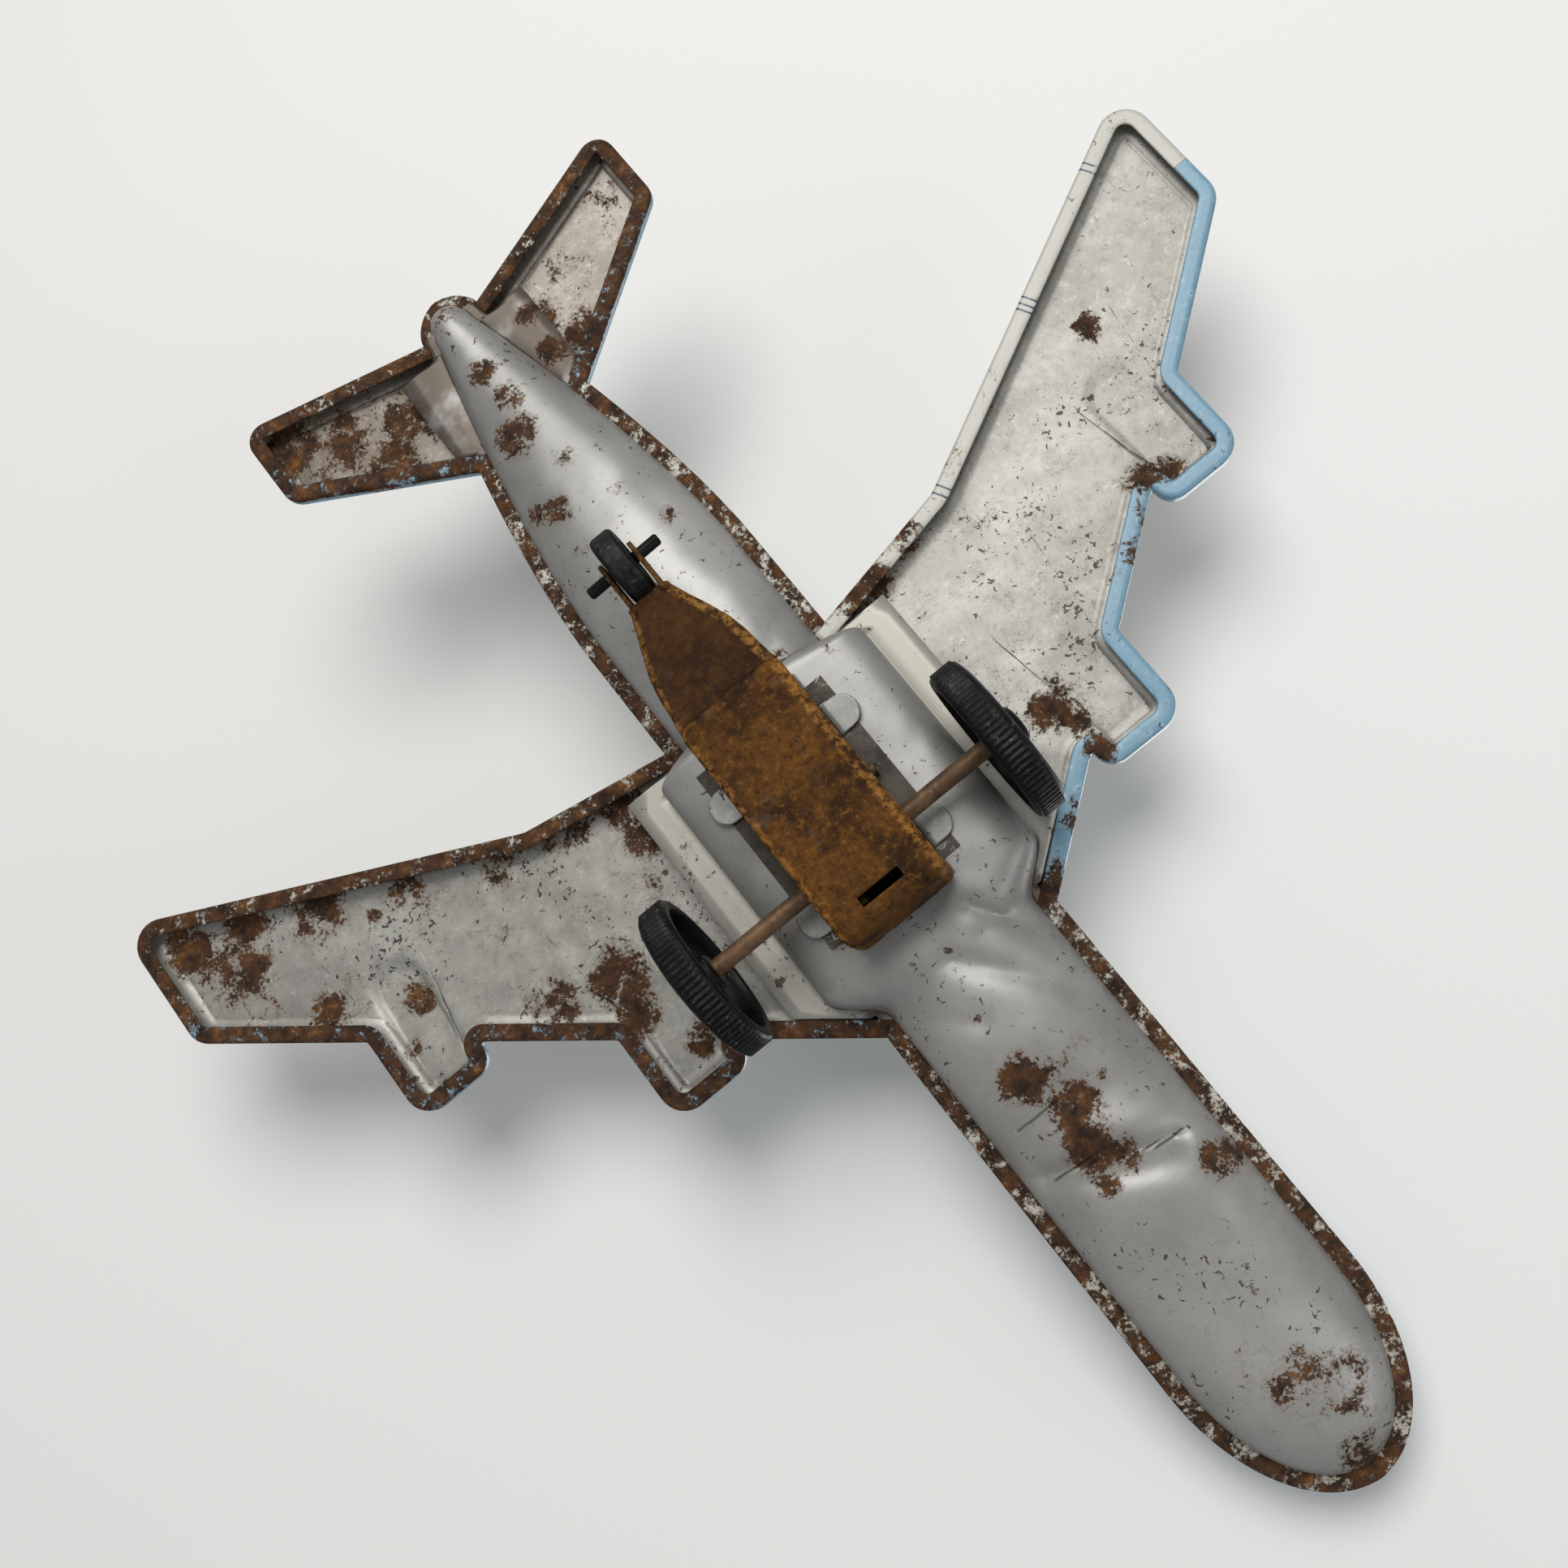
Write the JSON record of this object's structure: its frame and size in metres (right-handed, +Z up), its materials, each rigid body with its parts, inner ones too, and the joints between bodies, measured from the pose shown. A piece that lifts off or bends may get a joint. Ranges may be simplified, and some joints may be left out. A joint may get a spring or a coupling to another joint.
{
  "type": "tin toy airliner",
  "caption": "Pressed tin toy airliner with a flywheel push-and-go motor in its belly, swept wings with engine pods, ribbed main wheels and a small tail wheel on an arm.",
  "frame": {"origin": "floor level under the middle of the toy's outline", "axes": "+Z up from the floor, -Y towards the nose, +X towards the port wing"},
  "size_m": [0.1934, 0.2139, 0.0655],
  "materials": {
    "litho_tin": "printed enamel on tinplate, worn, rust along the folded edges; bare grey tin inside",
    "belly_tin": "silver-grey lacquer, satin, rust blotches and dark specks",
    "fin_tin": "printed enamel on tinplate, light blue, worn",
    "frame_steel": "dark grey-brown mottled steel",
    "pillar_steel": "dull oxidised steel",
    "rusted_steel": "heavy orange-brown rust, matt and rough",
    "axle_steel": "brown rusted steel rod",
    "gear_brass": "dull brass",
    "black_plastic": "black moulded plastic, dusty",
    "flywheel_iron": "turned iron, dull"
  },
  "bodies": {
    "airframe": {"upper_shell": "litho_tin", "lower_shell": "belly_tin", "tail_fin": "fin_tin", "frame_plate_port": "frame_steel", "frame_plate_starboard": "frame_steel", "front_pillar": "pillar_steel", "rear_pillar": "pillar_steel", "top_pillar": "pillar_steel", "motor_cover": "rusted_steel"},
    "axle": {"main_axle": "axle_steel", "axle_washers": "pillar_steel", "drive_gear": "gear_brass", "wheel_port": "black_plastic", "wheel_starboard": "black_plastic"},
    "intermediate": {"intermediate_shaft": "axle_steel", "intermediate_pinion": "gear_brass", "intermediate_gear": "gear_brass"},
    "flywheel_unit": {"flywheel_shaft": "axle_steel", "flywheel_pinion": "gear_brass", "flywheel": "flywheel_iron"},
    "tail_wheel_unit": {"tail_wheel": "black_plastic"}
  },
  "joints": [
    {"name": "axle_spin", "type": "hinge", "parent": "airframe", "child": "axle", "pos_m": [0.0015, -0.0065, 0.0118], "axis": [1, 0, 0], "continuous": true},
    {"name": "intermediate_spin", "type": "hinge", "parent": "airframe", "child": "intermediate", "pos_m": [0.0015, 0.00166, 0.0156], "axis": [1, 0, 0], "continuous": true},
    {"name": "flywheel_spin", "type": "hinge", "parent": "airframe", "child": "flywheel_unit", "pos_m": [0.0015, 0.00981, 0.01941], "axis": [1, 0, 0], "continuous": true},
    {"name": "tail_wheel_spin", "type": "hinge", "parent": "airframe", "child": "tail_wheel_unit", "pos_m": [0.0015, 0.0423, 0.0054], "axis": [1, 0, 0], "continuous": true}
  ],
  "couplings": [
    {"joint": "intermediate_spin", "follows": "axle_spin", "ratio": -2.6},
    {"joint": "flywheel_spin", "follows": "axle_spin", "ratio": 9.1}
  ]
}
